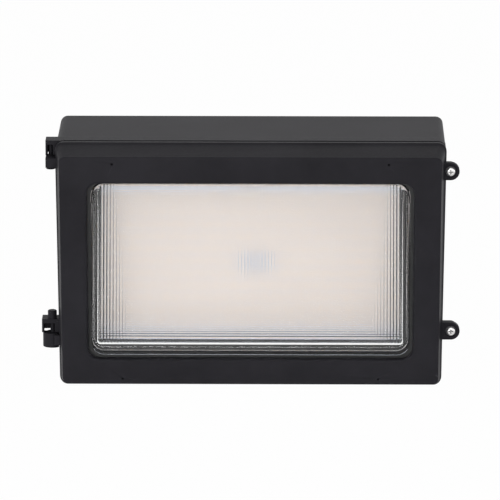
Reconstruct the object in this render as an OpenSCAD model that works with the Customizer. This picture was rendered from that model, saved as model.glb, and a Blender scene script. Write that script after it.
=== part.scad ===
// Side-hinged LED wall light: a cast housing fixed to the wall, and a cast
// door that carries a wedge-shaped prismatic glass. X to the right, Y into the
// wall, Z up. The origin is the centre of the back face, which lies on the wall.

/* [Body] */
// Width over the front flange, at the top
body_w = 362; // [340:1:400]
// Height over the front flange
body_h = 232; // [222:1:260]
// How much each side leans in from top to bottom
side_taper = 2.6; // [0:0.2:6]
// Depth of the housing, from the wall to the parting line
housing_d = 108; // [100:1:130]
// Thickness of the housing's side walls
wall_t = 4.5; // [3:0.25:5]
// Thickness of the housing's back wall
back_t = 4.5; // [3.5:0.5:8]
// Radius of the body's corners
corner_r = 7.5; // [5:0.5:12]
// How far the walls lean in towards the back, for the casting draft
draft_in = 0.1; // [0:0.1:2]
// Chamfer along the inside edge of the back wall
floor_chamfer = 2; // [0.5:0.5:4]
// Thickness of the flange at the parting line
flange_t = 4.5; // [3:0.5:8]
// Step from the flange down to the wall
flange_step = 0.4; // [0.2:0.1:2]
// Depth of the raised collar behind the flange, with its groove
collar_d = 14.5; // [10:0.5:20]
// How far the raised collar is set in from the flange
collar_in = 0.1; // [0:0.05:0.15]
// Width of the groove between the collar and the flange
collar_groove = 4; // [2:0.5:6]
// How far the groove is set in from the flange
groove_in = 0.9; // [0.6:0.1:1.6]

/* [Door] */
// Gap at the parting line
parting_gap = 0.4; // [0.3:0.1:1]
// How far the door's edge is set in from the housing's flange
door_inset = 1; // [0.5:0.1:2]
// Thickness of the door at the top
door_t_top = 28; // [24:0.5:36]
// Thickness of the door at the bottom
door_t_bottom = 19.5; // [18:0.5:28]
// Draft angle of the door's sides
door_draft = 12.4; // [4:0.2:14]
// Thickness of the door's side walls
door_wall = 4; // [3:0.25:5]
// Thickness of the door's face
face_t = 4; // [3:0.25:6]
// Radius of the door's edge at the parting line
door_back_r = 1.2; // [0.6:0.1:2]
// Chamfer along the edges of the door's face
door_edge_r = 0.5; // [0.2:0.1:1]
// Corner radius of the door's face
face_corner_r = 4.5; // [3:0.5:8]
// Corner radius of the pocket behind the door's face
pocket_corner_r = 2.5; // [1:0.5:5]

/* [Lens opening] */
// Width of the door beside the opening
frame_side = 30.3; // [28:0.1:40]
// Height of the door above the opening
frame_top = 32.9; // [31:0.1:45]
// Height of the door below the opening
frame_bottom = 29.4; // [28:0.1:45]
// Corner radius of the opening
opening_r = 10; // [6:0.5:20]
// Radius of the opening's front edge
opening_edge_r = 2.5; // [1:0.5:3]
// Depth of the lip behind the opening
lip_d = 3; // [1:0.5:4]
// Thickness of the lip behind the opening
lip_t = 3; // [2:0.5:4]

/* [Glass] */
// Thickness of the glass
glass_t = 4.5; // [3.5:0.25:6]
// Clear gap between the glass and the opening, at the sides and the bottom
glass_gap = 4.4; // [2:0.2:8]
// Clear gap between the glass and the opening, at the top
glass_top_gap = 1.4; // [1:0.1:6]
// Corner radius of the glass where it leaves its flange
glass_base_r = 9; // [6:0.5:12]
// How far the front of the glass stands out of the door at the bottom
glass_out = 48; // [30:1:60]
// How far the front edge lies inside the base, at the sides
glass_side_in = 6.9; // [3:0.1:12]
// How far the front edge lies below the base, at the top
glass_top_in = 0.3; // [0.2:0.1:6]
// How far the front edge lies above the base, at the bottom
glass_bottom_in = 27; // [10:1:40]
// Radius of the glass's front edge
glass_edge_r = 3; // [1.5:0.5:4]
// Corner radius of the glass's front, at the top
front_top_r = 6; // [5:0.5:10]
// Corner radius of the glass's front, at the bottom
front_bottom_r = 5; // [5:0.5:10]
// Width of the flange by which the glass is held
glass_flange = 9.5; // [7:0.5:10]
// Pitch of the ribs inside the front of the glass
rib_pitch = 2.9; // [2.4:0.1:6]
// Height of the ribs inside the front of the glass
rib_h = 0.7; // [0.3:0.1:1.2]

/* [Gaskets] */
// Thickness of the gasket in front of the glass's flange
lens_gasket_t = 1.5; // [1:0.25:2.5]
// Width of the gasket in the housing's rim
rim_gasket_w = 2.4; // [1.6:0.1:2.6]
// Depth of the gasket's groove in the housing's rim
rim_groove_d = 2.2; // [1.5:0.1:3]
// Clearance of the gasket in its groove
rim_clear = 0.1; // [0:0.05:0.2]
// How far the gasket stands out of its groove
rim_gasket_proud = 0.1; // [0:0.05:0.2]
// How far the glass's gasket reaches past the flange
gasket_over = 0.4; // [0.2:0.1:1]
// Clearance between the gasket and the glass inside it
gasket_clear = 0.5; // [0.3:0.1:1]

/* [Hinge] */
// Distance of the hinge's axis from the middle of the body
hinge_x = 185.5; // [184:0.1:190]
// Distance of the hinge's axis behind the parting line
hinge_back = 11; // [9:0.5:14]
// Radius of the hinge pins
pin_r = 2; // [1.5:0.1:2.5]
// Radial clearance of the hinge pins
pin_clear = 0.05; // [0.02:0.01:0.1]
// Radius of the lower pin's head
pin_head_r = 4.2; // [3:0.1:5]
// Height of the lower pin's head
pin_head_h = 7.7; // [2:0.1:9]
// Distance of the upper ear's top below the body's top
upper_ear_down = 0; // [0:0.5:10]
// Height of the lower ear's top above the body's bottom
lower_ear_up = 60.2; // [55:0.1:75]
// Height of the upper ear
upper_ear_h = 14; // [10:0.1:16]
// Height of the lower ear
lower_ear_h = 12.6; // [10:0.1:16]
// Depth of each ear from front to back
ear_d = 15.5; // [15.5:0.5:18]
// How far each ear's back wall hangs down behind its knuckle
ear_skirt = 2; // [1:0.5:4]
// How far each ear reaches in front of the axis
ear_front = 4.5; // [3.5:0.1:5.5]
// Thickness of each ear's top plate
ear_plate = 4; // [3:0.1:5]
// Thickness of each ear's outer wall
ear_wall = 1.8; // [1.5:0.1:2.5]
// Thickness of the upper ear's plate left over the stub
ear_roof = 1.2; // [0.8:0.1:1.6]
// Room beside the pin, inside each ear
ear_room = 0.3; // [0.3:0.1:2.5]
// How far the upper ear reaches out past the axis
upper_ear_out = 4.6; // [4.4:0.1:8]
// How far the lower ear reaches out past the axis
lower_ear_out = 9.6; // [6:0.1:10]
// Radius of the door's lower knuckle
knuckle_r = 8.9; // [5:0.1:8.9]
// Height of the door's lower knuckle
knuckle_h = 13.5; // [10:0.5:16]
// Radius of the door's upper knuckle
upper_knuckle_r = 4.3; // [3:0.1:5]
// Height of the door's upper knuckle
upper_knuckle_h = 13.2; // [12:0.2:18]
// Gap between each knuckle and its ear
knuckle_gap = 0.4; // [0.4:0.1:2]
// How far each knuckle's arm reaches along the door's side
arm_reach = 3.6; // [3:0.1:14]
// How far the upper knuckle's arm reaches out past the axis
upper_arm_out = 4.3; // [-2:0.1:4.3]
// How far the lower knuckle's arm lies inside the axis
lower_arm_in = 2.5; // [1:0.1:4]
// How far each knuckle's arm stops above the knuckle's bottom
arm_up = 4.2; // [2:0.2:6]
// Chamfer on each arm's front corner
arm_chamfer = 1; // [0.5:0.5:2]
// Clearance between each arm and the housing's flange
arm_clear = 0.3; // [0.2:0.1:0.6]
// Depth of the upper stub in its knuckle
stub_seat = 10; // [6:0.5:13]
// How far the stub stops short of the ear's roof
stub_short = 0.3; // [0.2:0.1:0.6]
// How far the lower pin stops short of its knuckle's bottom
pin_short = 1; // [0:0.5:3]
// Chamfer on the lower pin's head
head_chamfer = 0.6; // [0.2:0.1:1.2]

/* [Closing screws] */
// Distance of the upper screw from the middle of the body
upper_screw_x = 185; // [183:0.1:188]
// Distance of the lower screw from the middle of the body
lower_screw_x = 186.6; // [183:0.1:188]
// Distance of the upper screw below the body's top
upper_screw_down = 25.5; // [20:0.5:60]
// Height of the lower screw above the body's bottom
lower_screw_up = 53.3; // [30:0.1:70]
// Radius of the door's lugs
door_lug_r = 8.2; // [7:0.1:10]
// Radius of the housing's lugs
housing_lug_r = 5.4; // [5:0.1:7]
// Thickness of the door's lugs
door_lug_t = 6; // [5:0.1:8]
// Depth of the housing's lugs
housing_lug_d = 12; // [10:0.5:20]
// Metal left behind each screw in the housing's lugs
lug_floor = 2; // [1:0.5:3]
// Radius of the screws' shanks
screw_r = 2; // [1.5:0.1:2.5]
// Radius of the screws' heads
screw_head_r = 4; // [3:0.1:5]
// Height of the screws' heads
screw_head_h = 2.6; // [2:0.1:4]
// Length of the screws' shanks
screw_len = 14; // [12:0.5:15]
// Radial clearance of the screws in the lugs
screw_clear = 0.35; // [0.3:0.05:0.6]
// Radius of the screws' washers
washer_r = 4.8; // [4.2:0.1:5.2]
// Thickness of the screws' washers
washer_t = 0.8; // [0.5:0.1:1.2]
// Depth of the washer's seat in the door's lug
washer_seat = 1.6; // [1:0.1:2.5]
// Radial clearance of each washer in its seat
washer_clear = 0.5; // [0.2:0.1:0.8]
// Radial clearance of each screw in its washer
washer_fit = 0.06; // [0.03:0.01:0.1]

/* [Wire guard holes] */
// Spacing of the two holes above the opening
guard_top_w = 255; // [200:1:260]
// Distance of the upper holes below the body's top
guard_top_down = 14; // [13:0.2:16]
// Spacing of the two holes below the opening
guard_bottom_w = 238; // [200:1:260]
// Height of the lower holes above the body's bottom
guard_bottom_up = 10.2; // [9:0.2:11]
// Radius of the guard holes
guard_r = 1.25; // [1:0.05:1.6]
// Depth of the guard holes
guard_d = 3.2; // [2:0.1:3.4]

/* [Wall fixing] */
// Distance of the wall holes from the body's sides
wall_hole_in = 36; // [31:1:60]
// Distance of the wall holes from the body's top and bottom
wall_hole_down = 21; // [19:0.5:24]
// Radius of the wall holes
wall_hole_r = 3.5; // [2.5:0.25:4.5]
// Distance of the wire entry in the back below the body's top
entry_down = 68; // [56:1:76]
// Radius of the wire entry in the back
entry_r = 11.1; // [8:0.1:14]
// Spacing of the outlet box screws beside the wire entry
box_hole_w = 88.9; // [60:0.1:100]
// Radius of the outlet box holes
box_hole_r = 2.4; // [2:0.1:3]

/* [Conduit plugs] */
// Radius of the threaded conduit entries in the sides and bottom
conduit_r = 10.2; // [8:0.1:12]
// Distance of the conduit entries from the wall
conduit_y = 30; // [26:1:60]
// Height of the side entries above the origin
conduit_z = 0; // [-10:1:20]
// Wall of the boss inside each conduit entry
conduit_wall = 3.5; // [2.5:0.5:5]
// How far the boss of each conduit entry goes in
conduit_boss = 8; // [5:0.5:12]
// Height of each plug's rim
plug_rim_h = 2; // [1.2:0.2:2.4]
// Width of each plug's rim past its thread
plug_rim = 3; // [2:0.2:4]
// Length of each plug's thread
plug_len = 10; // [6:0.5:12]
// Radius of the wire of the sealing rings
ring_r = 0.9; // [0.6:0.1:1.2]
// Gap between each plug's rim and the wall
plug_gap = 0.3; // [0.3:0.1:0.6]
// Radial clearance of each plug in its entry
plug_clear = 0.1; // [0.05:0.05:0.2]
// Radial clearance of each sealing ring in its seat
ring_clear = 0.02; // [0:0.01:0.1]
// Wall thickness of each hollow plug
plug_wall = 3; // [2:0.5:5]
// Width of the slot in each plug
plug_slot_w = 2; // [1:0.5:4]
// Depth of the slot in each plug
plug_slot_d = 1; // [0.5:0.1:1.2]

/* [Lens clips] */
// Spacing of the clips along the top and bottom of the glass
clip_spread = 180; // [80:1:240]
// Width of each clip
clip_w = 14; // [10:1:24]
// Thickness of each clip
clip_t = 1.2; // [0.6:0.1:2]
// How far each clip laps over the glass's flange
clip_lap = 5; // [3:0.5:7]
// Distance of each clip's screw from the glass's flange
clip_off = 6.5; // [5:0.5:6.5]
// Radius of the bosses under the clips
clip_boss_r = 4; // [3:0.5:4.5]
// Radius of the tapped holes in the bosses
clip_screw_r = 1.4; // [1:0.1:2]
// Length of the clip screws' shanks
clip_screw_len = 6; // [4:0.5:8]
// Radius of the clip screws' heads
clip_head_r = 2.8; // [2:0.1:4]
// Height of the clip screws' heads
clip_head_h = 1.8; // [1:0.1:3]

/* [LED tray] */
// How far the tray reaches past the board at each side
tray_side = 28.5; // [26:0.5:30]
// How far the tray reaches past the board at the top and the bottom
tray_over = 3; // [2:0.5:8]
// Thickness of the tray's sheet
tray_t = 2.5; // [1.5:0.25:4]
// Depth of the tray's folded edges
tray_fold = 14; // [6:1:20]
// Distance of the board's front behind the parting line
board_back = 15; // [12:0.5:20]
// Distance of the tray's posts from its ends
post_in = 8; // [6:0.5:10]
// Distance of the tray's posts from its top and bottom edges
post_down = 19; // [9:1:39]
// Radius of the tray's posts
post_r = 5; // [4:0.5:6]
// Thickness of the rib beside each post
post_rib_t = 3; // [2:0.5:5]
// Distance of the folds from the tray's ends
fold_in = 20; // [10:1:40]
// Radius of the tapped holes for the tray, driver and earth screws
tray_screw_r = 2; // [1.5:0.1:2.2]
// Depth of the tapped holes in the tray's posts
tray_tap_d = 12; // [9:0.5:20]
// Length of the tray screws' shanks
tray_screw_len = 10; // [6:0.5:11]
// Radius of the tray and driver screws' heads
tray_head_r = 3.8; // [3:0.1:4]
// Height of the tray and driver screws' heads
tray_head_h = 2.4; // [1.5:0.1:3]
// Clearance of the screws' threads in their tapped holes
thread_clear = 0.08; // [0.03:0.01:0.1]
// Clearance of the holes that screws pass through
hole_clear = 0.25; // [0.1:0.05:0.3]

/* [LED board] */
// How far the board's ends lie inside the opening's sides
board_side = 11.2; // [9:0.1:16]
// How far the board's top lies below the opening's top
board_top = 10.2; // [9.5:0.1:14]
// How far the board's bottom lies above the opening's bottom
board_bottom = 7.5; // [7:0.1:12]
// Thickness of the board
board_t = 1.6; // [1:0.1:2]
// Corner radius of the board
board_corner_r = 3; // [1:0.5:6]
// Columns of LEDs
led_columns = 31; // [11:2:31]
// Rows of LEDs
led_rows = 12; // [4:2:12]
// Distance of the outer columns from the board's ends
led_margin_x = 12; // [11:0.5:30]
// Distance of the outer rows from the board's top and bottom
led_margin_z = 11.5; // [10.5:0.1:20]
// Width of one LED
led_w = 3.5; // [2:0.1:4]
// Height of one LED
led_h = 2.8; // [2:0.1:4]
// Thickness of one LED
led_t = 0.8; // [0.5:0.1:1]
// Radius of the board screws' heads
board_screw_r = 2.8; // [2:0.1:3]
// Height of the board screws' heads
board_screw_h = 1.7; // [1:0.1:2.5]
// Distance of the board screws from the board's edges
board_screw_in = 6; // [5:0.5:8]
// Radius of the board screws' tapped holes
board_tap_r = 1.6; // [1.2:0.1:1.8]
// Width of the wire connector
connector_w = 6; // [5:0.5:12]
// Height of the wire connector
connector_h = 4; // [3:0.5:5]
// Thickness of the wire connector
connector_t = 2.4; // [2.2:0.1:4]
// Gap between the connector and the first row of LEDs
connector_gap = 1; // [0.5:0.1:2]

/* [Driver] */
// Length of the driver's case
driver_w = 150; // [100:1:180]
// Height of the driver's case
driver_h = 42; // [30:1:50]
// Depth of the driver's case
driver_d = 32; // [20:1:36]
// Height of the driver's centre above the body's bottom
driver_up = 68; // [56:1:76]
// Corner radius of the driver's case
driver_r = 3; // [1:0.5:8]
// Height of the pads that the driver stands on
driver_pad = 3; // [2:0.5:5]
// Radius of the driver's pads and of the earth screw's post
pad_r = 5; // [4:0.5:6]
// Thickness of the driver's end caps
driver_cap_t = 3; // [2:0.5:6]
// Length of each end cap's foot
driver_foot = 14; // [10:1:20]
// Width of each end cap's foot
driver_foot_w = 16; // [10:1:30]
// Thickness of each end cap's foot
driver_foot_t = 3; // [2:0.5:5]
// Depth of the tapped hole under each foot
foot_tap_d = 6; // [4:0.5:6.5]

/* [Terminals and leads] */
// Distance of the terminal block from the middle
terminal_x = 78; // [70:1:100]
// Width of the terminal block
terminal_w = 36; // [34:1:44]
// Height of the terminal block
terminal_h = 18; // [14:1:24]
// Depth of the terminal block
terminal_d = 14; // [12:1:20]
// Spacing of the terminals
terminal_pitch = 11; // [8:0.5:12]
// Depth of the leads behind the terminal block's front
terminal_lead_d = 5; // [4:0.5:6]
// Radius of the terminal screws' shanks
terminal_screw_r = 1.4; // [1:0.1:1.8]
// Radius of the terminal screws' heads
terminal_head_r = 2.9; // [2.5:0.1:3.4]
// Height of the terminal screws' heads
terminal_head_h = 2; // [1:0.1:3]
// Distance of the earth screw from the middle
ground_x = -70; // [-90:1:-60]
// Height of the earth screw's post
ground_post_h = 6; // [4:0.5:10]
// Depth of the tapped hole in the earth screw's post
ground_tap_d = 8; // [5:0.5:8]
// Radius of the earth screw's head
ground_head_r = 4.2; // [3:0.1:5]
// Height of the earth screw's head
ground_head_h = 2.8; // [2:0.1:4]
// Room under the tips of the driver and earth screws
tip_room = 1; // [0.5:0.5:2]
// Radius of an insulated lead
lead_r = 0.75; // [0.5:0.05:0.9]
// Gap between the two leads of a pair
lead_gap = 0.3; // [0.2:0.1:0.6]
// Radial clearance of the leads in what they enter
lead_fit = 0.25; // [0.1:0.05:0.4]
// Depth of the leads in the wire connector
lead_seat = 2.5; // [1:0.5:2.5]
// Gap between the leads' ends and the bottom of their holes
lead_end = 0.2; // [0:0.1:0.5]

/* [Hidden] */
$fn = 48;
// How far a cutting shape runs past the surface that it cuts
cut = 1;

casting = [0.24, 0.24, 0.26];
steel = [0.76, 0.76, 0.78];
rubber = [0.1, 0.1, 0.1];

half_w = body_w / 2;
half_h = body_h / 2;
opening_w = body_w - 2 * frame_side;
opening_h = body_h - frame_top - frame_bottom;
opening_z = (frame_bottom - frame_top) / 2;
board_w = opening_w - 2 * board_side;
board_h = opening_h - board_top - board_bottom;
board_z = opening_z + (board_bottom - board_top) / 2;
led_pitch_x = (board_w - 2 * led_margin_x) / (led_columns - 1);
led_pitch_z = (board_h - 2 * led_margin_z) / (led_rows - 1);
tray_w = board_w + 2 * tray_side;
tray_h = board_h + 2 * tray_over;
tray_top = board_z + tray_h / 2;
post_w = tray_w - 2 * post_in;
post_h = tray_h - 2 * post_down;
upper_ear_z = half_h - upper_ear_down;
lower_ear_z = lower_ear_up - half_h;
upper_screw = [upper_screw_x, half_h - upper_screw_down];
lower_screw = [lower_screw_x, lower_screw_up - half_h];
wall_hole_w = body_w - 2 * wall_hole_in;
wall_hole_h = body_h - 2 * wall_hole_down;
entry_z = half_h - entry_down;
driver_z = driver_up - half_h;
function side_lean(z) = side_taper * (half_h - z) / body_h;
function side_x(z) = half_w - side_lean(z);

// Rounded four-sided outlines in X and Z, each corner an arc of arc_n steps
arc_n = 6;
least_r = 1;
function arc(x, z, r, from) =
    [for (i = [0 : arc_n]) [x + r * cos(from + 90 * i / arc_n), z + r * sin(from + 90 * i / arc_n)]];
function outline(top_x, bottom_x, top, bottom, r_top, r_bottom) =
    concat(arc(top_x - r_top, top - r_top, r_top, 0),
           arc(-top_x + r_top, top - r_top, r_top, 90),
           arc(-bottom_x + r_bottom, bottom + r_bottom, r_bottom, 180),
           arc(bottom_x - r_bottom, bottom + r_bottom, r_bottom, 270));
function body_outline(inset) =
    let (r = max(corner_r - inset, least_r))
    outline(half_w - inset, half_w - side_taper - inset, half_h - inset, -half_h + inset, r, r);
function box_outline(w, h, z, r) = outline(w / 2, w / 2, z + h / 2, z - h / 2, r, r);

// A ring is an outline laid on the plane y = y0 + slope * z
function ring(points, y0, slope = 0) = [for (p = points) [p[0], y0 + slope * p[1], p[1]]];

// A solid through a list of rings, from the back one to the front one
module loft(rings) {
    n = len(rings[0]);
    m = len(rings);
    sides = [for (i = [0 : m - 2]) for (j = [0 : n - 1])
        let (a = i * n + j, b = i * n + (j + 1) % n)
        each [[a, b + n, b], [a, a + n, b + n]]];
    back = [for (j = [0 : n - 1]) j];
    front = [for (j = [n - 1 : -1 : 0]) (m - 1) * n + j];
    polyhedron([for (r = rings) each r], concat(sides, [back, front]));
}

// A plate in the plane of the wall, from y = back forwards
module plate(back, thick) translate([0, back, 0]) rotate([90, 0, 0]) linear_extrude(thick) children();
// A rod or a hole along Y, from y = back forwards
module rod(x, z, back, len, r) translate([x, back, z]) rotate([90, 0, 0]) cylinder(r = r, h = len);
module block(low, high) translate(low) cube(high - low);
// A frame at a place on the plane y, whose own z points forwards
module at_front(x, z, y) translate([x, y, z]) rotate([90, 0, 0]) children();
// Shapes on the right and, mirrored, on the left
module both_sides() for (s = [0, 1]) mirror([s, 0, 0]) children();

// A pan-head screw with a cross recess: its seat at z = 0 and its head above.
// The head's profile is in shares of its radius and height.
head_profile = [[0, 0], [1, 0], [1, 0.45], [0.93, 0.75], [0.75, 0.93], [0.45, 1], [0, 1]];
recess_reach = 0.55;
recess_w = 0.22;
recess_floor = 0.45;
module pan_screw(len, r, head_r, head_h) difference() {
    union() {
        translate([0, 0, -len]) cylinder(r = r, h = len + recess_floor * head_h / 2);
        rotate_extrude() polygon([for (p = head_profile) [p[0] * head_r, p[1] * head_h]]);
    }
    for (a = [0, 90]) rotate(a)
        translate([-recess_reach * head_r, -recess_w * head_r / 2, recess_floor * head_h])
            cube([2 * recess_reach * head_r, recess_w * head_r, head_h]);
}

// The door's face leans: it is thicker at the top. Pieces on it are built in
// its own frame, with y = 0 on the face.
face_slope = (door_t_top - door_t_bottom) / body_h;
face_tilt = atan(face_slope);
door_back_y = -(housing_d + parting_gap);
face_y = door_back_y - (door_t_top + door_t_bottom) / 2;
draft_k = tan(door_draft);
module on_face() translate([0, face_y, 0]) rotate([face_tilt, 0, 0]) children();

// Planes behind one another, from the parting line to the wall
hinge_y = -(housing_d - hinge_back);
board_y = -(housing_d - board_back);
tray_y = board_y + board_t;
post_y = tray_y + tray_t;
driver_foot_y = -back_t - driver_pad;
screw_seat_y = door_back_y - door_lug_t + washer_seat;
tapped_depth = housing_lug_d - lug_floor;

// Places of what repeats
inner_inset = flange_step + wall_t;
door_pocket = door_inset + door_wall;
rim_gasket_in = (inner_inset - rim_gasket_w) / 2;
upper_knuckle_z = upper_ear_z - upper_ear_h - knuckle_gap;
lower_knuckle_z = lower_ear_z - lower_ear_h - knuckle_gap;
stub_in_plate = ear_plate - ear_roof;
post_places = [for (x = [-1, 1]) for (z = [-1, 1]) [x * post_w / 2, board_z + z * post_h / 2]];
wall_places = [for (x = [-1, 1]) for (z = [-1, 1]) [x * wall_hole_w / 2, z * wall_hole_h / 2]];
screw_places = [upper_screw, lower_screw];
guard_places = [for (s = [-1, 1]) each [[s * guard_top_w / 2, half_h - guard_top_down],
                                        [s * guard_bottom_w / 2, guard_bottom_up - half_h]]];
board_screw_x = board_w / 2 - board_screw_in;
board_screw_z = board_h / 2 - board_screw_in;
board_screw_places = [[-board_screw_x, board_z + board_screw_z], [board_screw_x, board_z + board_screw_z],
                      [-board_screw_x, board_z - board_screw_z], [board_screw_x, board_z - board_screw_z],
                      [led_pitch_x / 2, board_z], [0, board_z - board_screw_z]];
driver_screw_x = (driver_w + driver_foot + driver_cap_t) / 2;

// The outer shell narrows from the collar to the wall by the casting draft
collar_y = housing_d - flange_t - collar_groove - collar_d;
function shell_inset(y) = flange_step + draft_in * (1 - y / collar_y);
module shell() loft([
    ring(body_outline(shell_inset(0)), 0),
    ring(body_outline(flange_step), -collar_y),
    ring(body_outline(collar_in), -collar_y),
    ring(body_outline(collar_in), -collar_y - collar_d),
    ring(body_outline(groove_in), -collar_y - collar_d),
    ring(body_outline(groove_in), -collar_y - collar_d - collar_groove),
    ring(body_outline(0), -collar_y - collar_d - collar_groove),
    ring(body_outline(0), -housing_d)]);
// The shape through the middle of the walls, to which what stands inside reaches
module wall_core() loft([ring(body_outline(shell_inset(0) + wall_t / 2), 0),
                         ring(body_outline(flange_step + wall_t / 2), -housing_d)]);
module cavity() loft([
    ring(body_outline(inner_inset + draft_in + floor_chamfer), -back_t),
    ring(body_outline(inner_inset + draft_in), -back_t - floor_chamfer),
    ring(body_outline(inner_inset), -housing_d - cut)]);

// Conduit entries in the right, left and bottom walls: z points out of the wall,
// and z = 0 lies on it
conduit_in = shell_inset(conduit_y);
module at_conduits() {
    translate([side_x(conduit_z) - conduit_in, -conduit_y, conduit_z]) rotate([0, 90, 0]) children();
    translate([-side_x(conduit_z) + conduit_in, -conduit_y, conduit_z]) rotate([0, -90, 0]) children();
    translate([0, -conduit_y, -half_h + conduit_in]) rotate([180, 0, 0]) children();
}
conduit_floor = -wall_t - conduit_boss;
ring_seat = plug_gap - 2 * ring_r;

// Die-cast housing, open at the front, with the hinge ears and screw lugs cast on
module back_housing() color(casting) difference() {
    union() {
        difference() {
            union() {
                shell();
                ear(upper_ear_z, upper_ear_h, upper_ear_out);
                ear(lower_ear_z, lower_ear_h, lower_ear_out);
                for (p = screw_places)
                    lug(p, housing_lug_r, -(housing_d - housing_lug_d), housing_lug_d, corner_r);
            }
            cavity();
        }
        intersection() {
            union() {
                for (p = post_places) tray_post(p);
                at_conduits() translate([0, 0, conduit_floor])
                    cylinder(r = conduit_r + conduit_wall, h = cut - conduit_floor);
            }
            wall_core();
        }
        both_sides() rod(driver_screw_x, driver_z, -back_t + cut, driver_pad + cut, pad_r);
        rod(ground_x, entry_z, -back_t + cut, ground_post_h + cut, pad_r);
    }
    plate(-housing_d + rim_groove_d, rim_groove_d + cut) difference() {
        polygon(body_outline(rim_gasket_in - rim_clear));
        polygon(body_outline(rim_gasket_in + rim_gasket_w + rim_clear));
    }
    translate([-hinge_x, hinge_y, upper_ear_z - ear_plate - cut])
        cylinder(r = pin_r + pin_clear, h = stub_in_plate + cut);
    translate([-hinge_x, hinge_y, lower_ear_z - ear_plate - cut])
        cylinder(r = pin_r + pin_clear, h = ear_plate + 2 * cut);
    for (p = screw_places)
        rod(p[0], p[1], -housing_d + tapped_depth, tapped_depth + cut, screw_r + screw_clear);
    for (p = post_places) rod(p[0], p[1], post_y + tray_tap_d, tray_tap_d + cut, tray_screw_r);
    both_sides() rod(driver_screw_x, driver_z, driver_foot_y + foot_tap_d, foot_tap_d + cut, tray_screw_r);
    rod(ground_x, entry_z, ground_seat_y + ground_tap_d, ground_tap_d + cut, tray_screw_r);
    for (p = wall_places) rod(p[0], p[1], cut, back_t + floor_chamfer + cut, wall_hole_r);
    both_sides() rod(box_hole_w / 2, entry_z, cut, back_t + 2 * cut, box_hole_r);
    rod(0, entry_z, cut, back_t + 2 * cut, entry_r);
    at_conduits() {
        translate([0, 0, conduit_floor - cut]) cylinder(r = conduit_r, h = 2 * cut - conduit_floor);
        translate([0, 0, ring_seat]) cylinder(r = conduit_r + 2 * ring_r, h = cut - ring_seat);
    }
}

// A hinge ear: a cap over the pin, open at the front and below, whose back wall
// hangs down a little behind the knuckle
module ear(top, h, out) {
    front = hinge_y - ear_front;
    back = front + ear_d;
    inner = -side_x(top) + corner_r;
    difference() {
        block([-hinge_x - out, front, top - h], [inner, back, top]);
        block([-hinge_x - out + ear_wall, front - cut, top - h - cut],
              [-hinge_x + pin_r + ear_room, back - ear_wall, top - ear_plate]);
    }
    block([-hinge_x - pin_r, back - ear_wall, top - h - ear_skirt], [inner, back, top - h + cut]);
}

// A round-ended lug for a closing screw, reaching inwards past the body's side
module lug(p, r, back, thick, reach) plate(back, thick) {
    translate(p) circle(r = r);
    translate([side_x(p[1]) - reach, p[1] - r]) square([p[0] - side_x(p[1]) + reach, 2 * r]);
}

// A post for the tray, with a rib to the wall beside it
module tray_post(p) {
    wall = (p[0] < 0 ? -1 : 1) * half_w;
    foot = -back_t / 2;
    rod(p[0], p[1], foot, foot - post_y, post_r);
    block([min(p[0], wall), post_y, p[1] - post_rib_t / 2], [max(p[0], wall), foot, p[1] + post_rib_t / 2]);
}

module rim_gasket() color(rubber) plate(-housing_d + rim_groove_d, rim_groove_d + rim_gasket_proud)
    difference() {
        polygon(body_outline(rim_gasket_in));
        polygon(body_outline(rim_gasket_in + rim_gasket_w));
    }

// Hollow threaded plugs with a low rim and a slot for a coin or a driver
plug_body_r = conduit_r - plug_clear;
module entry_plugs() color(casting) at_conduits() difference() {
    union() {
        translate([0, 0, -plug_len]) cylinder(r = plug_body_r, h = plug_len + plug_gap + plug_rim_h / 2);
        translate([0, 0, plug_gap]) cylinder(r = conduit_r + plug_rim, h = plug_rim_h);
    }
    translate([0, 0, -plug_len - cut])
        cylinder(r = plug_body_r - plug_wall, h = plug_len - plug_wall / 2 + cut);
    translate([-plug_slot_w / 2, -conduit_r, plug_gap + plug_rim_h - plug_slot_d])
        cube([plug_slot_w, 2 * conduit_r, plug_slot_d + cut]);
}

module entry_plug_rings() color(rubber) at_conduits() translate([0, 0, plug_gap - ring_r])
    rotate_extrude() translate([conduit_r + ring_r, 0]) circle(r = ring_r - ring_clear);

// Folded aluminium sheet that carries the board and its heat
module led_tray() color([0.78, 0.78, 0.78]) difference() {
    union() {
        plate(post_y, tray_t) translate([-tray_w / 2, board_z - tray_h / 2]) square([tray_w, tray_h]);
        for (z = [board_z - tray_h / 2, board_z + tray_h / 2 - tray_t])
            block([-tray_w / 2 + fold_in, tray_y, z],
                  [tray_w / 2 - fold_in, tray_y + tray_fold, z + tray_t]);
    }
    for (p = post_places) rod(p[0], p[1], post_y + cut, tray_t + 2 * cut, tray_screw_r + hole_clear);
    for (p = board_screw_places) rod(p[0], p[1], post_y + cut, tray_t + 2 * cut, board_tap_r);
}

module tray_screws() color(steel) for (p = post_places) at_front(p[0], p[1], tray_y)
    pan_screw(tray_screw_len, tray_screw_r - thread_clear, tray_head_r, tray_head_h);

module led_board() color([0.93, 0.93, 0.95]) difference() {
    plate(tray_y, board_t) polygon(box_outline(board_w, board_h, board_z, board_corner_r));
    for (p = board_screw_places) rod(p[0], p[1], tray_y + cut, board_t + 2 * cut, board_tap_r);
}

module board_screws() color(steel) for (p = board_screw_places) at_front(p[0], p[1], board_y)
    pan_screw(board_t + tray_t, board_tap_r - thread_clear, board_screw_r, board_screw_h);

// The array leaves out the four LEDs round the screw in the middle
middle_column = (led_columns - 1) / 2;
middle_row = led_rows / 2;
function at_middle(i, k) = (i == middle_column || i == middle_column + 1)
    && (k == middle_row || k == middle_row - 1);
module leds() color([0.95, 0.85, 0.6]) plate(board_y, led_t)
    for (i = [0 : led_columns - 1]) for (k = [0 : led_rows - 1]) if (!at_middle(i, k))
        translate([(i - middle_column) * led_pitch_x, board_z + (k - (led_rows - 1) / 2) * led_pitch_z])
            square([led_w, led_h], center = true);

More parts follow.
